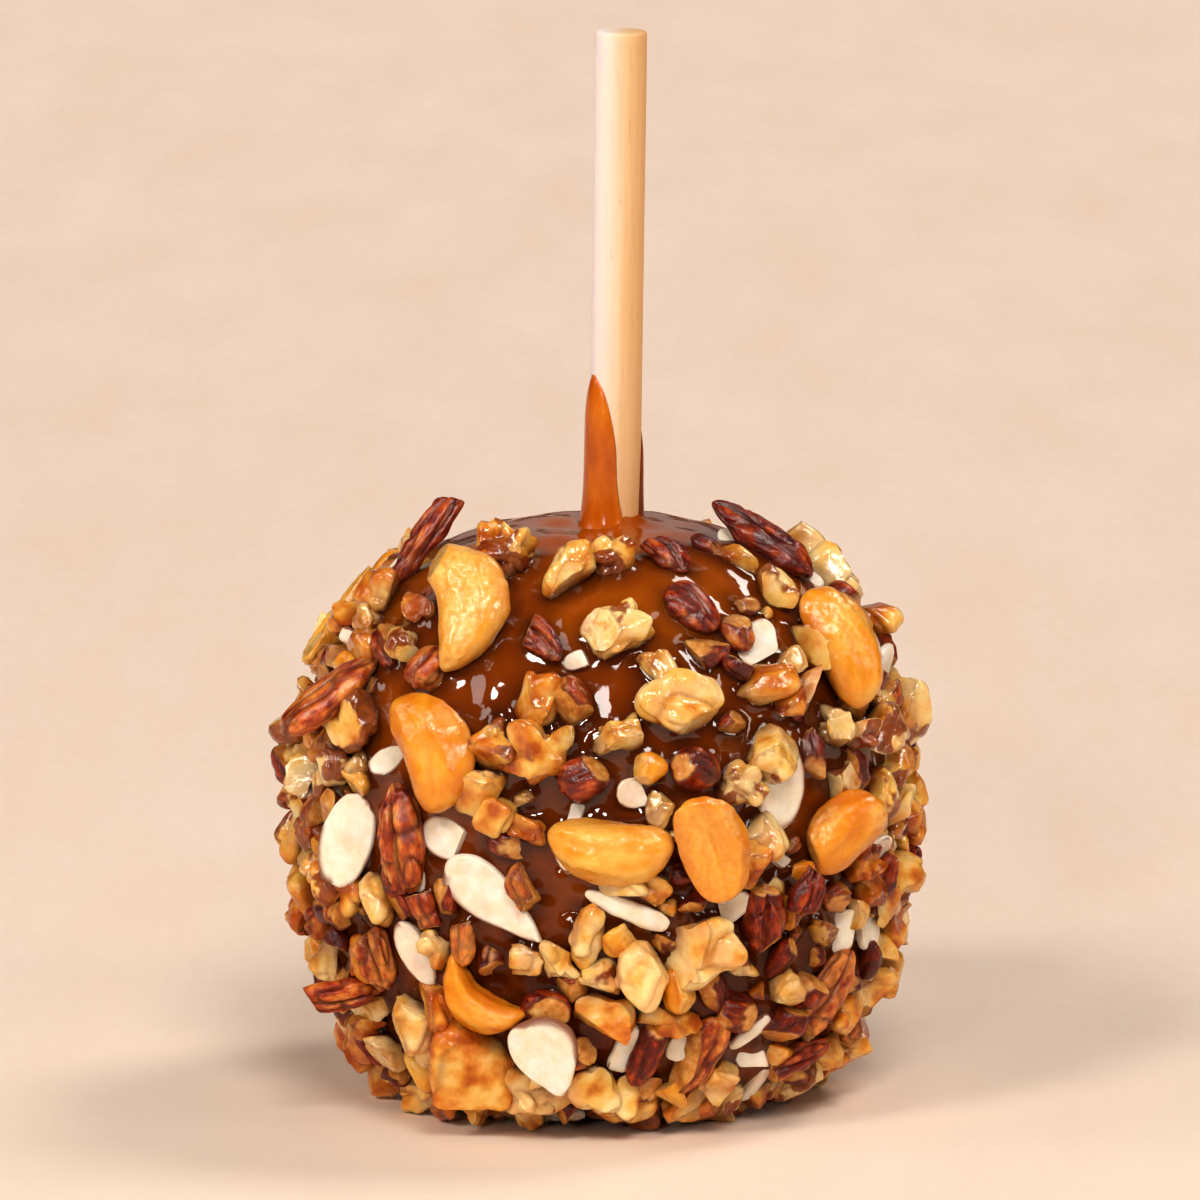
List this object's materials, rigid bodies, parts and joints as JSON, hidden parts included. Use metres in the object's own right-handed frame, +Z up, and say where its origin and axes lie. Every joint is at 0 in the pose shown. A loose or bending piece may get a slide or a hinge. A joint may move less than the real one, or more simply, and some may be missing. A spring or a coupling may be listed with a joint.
{
  "type": "caramel apple",
  "caption": "Caramel-coated apple on a round wooden stick, rolled in cashews, pecans, almonds and walnuts; stands on its flat caramel foot.",
  "frame": {"origin": "centre of the flat caramel foot, on the surface the apple stands on", "axes": "+Z up along the apple and its stick, front of the apple towards -Y, +X to the right seen from the front"},
  "size_m": [0.0913, 0.0944, 0.1526],
  "materials": {
    "caramel": "glossy translucent brown caramel, wet highlights",
    "stick_wood": "plain pale birch, fine lengthwise grain",
    "cashew": "roasted golden, glazed with caramel",
    "pecan": "red-brown wrinkled skin, tan where broken",
    "almond": "cream cut face, brown skin at the rim",
    "walnut": "pale waxy kernel with brown skin and specks"
  },
  "bodies": {
    "root": {"coated_apple": "caramel", "stick": "stick_wood", "cashew_01": "cashew", "cashew_02": "cashew", "cashew_03": "cashew", "cashew_04": "cashew", "cashew_05": "cashew", "cashew_06": "cashew", "cashew_07": "cashew", "cashew_08": "cashew", "cashew_09": "cashew", "cashew_10": "cashew", "cashew_11": "cashew", "cashew_12": "cashew", "cashew_13": "cashew", "pecan_01": "pecan", "pecan_02": "pecan", "pecan_03": "pecan", "pecan_04": "pecan", "pecan_05": "pecan", "pecan_06": "pecan", "pecan_07": "pecan", "pecan_08": "pecan", "pecan_09": "pecan", "pecan_10": "pecan", "pecan_11": "pecan", "pecan_12": "pecan", "pecan_13": "pecan", "pecan_14": "pecan", "pecan_15": "pecan", "pecan_16": "pecan", "pecan_17": "pecan", "pecan_18": "pecan", "pecan_19": "pecan", "pecan_20": "pecan", "pecan_21": "pecan", "pecan_22": "pecan", "pecan_23": "pecan", "pecan_24": "pecan", "almond_01": "almond", "almond_02": "almond", "almond_03": "almond", "almond_04": "almond", "almond_05": "almond", "almond_06": "almond", "almond_07": "almond", "almond_08": "almond", "almond_09": "almond", "almond_10": "almond", "almond_11": "almond", "walnut_01": "walnut", "walnut_02": "walnut", "walnut_03": "walnut", "walnut_04": "walnut", "walnut_05": "walnut", "walnut_06": "walnut", "walnut_07": "walnut", "walnut_08": "walnut", "walnut_09": "walnut", "walnut_10": "walnut"}
  },
  "joints": []
}
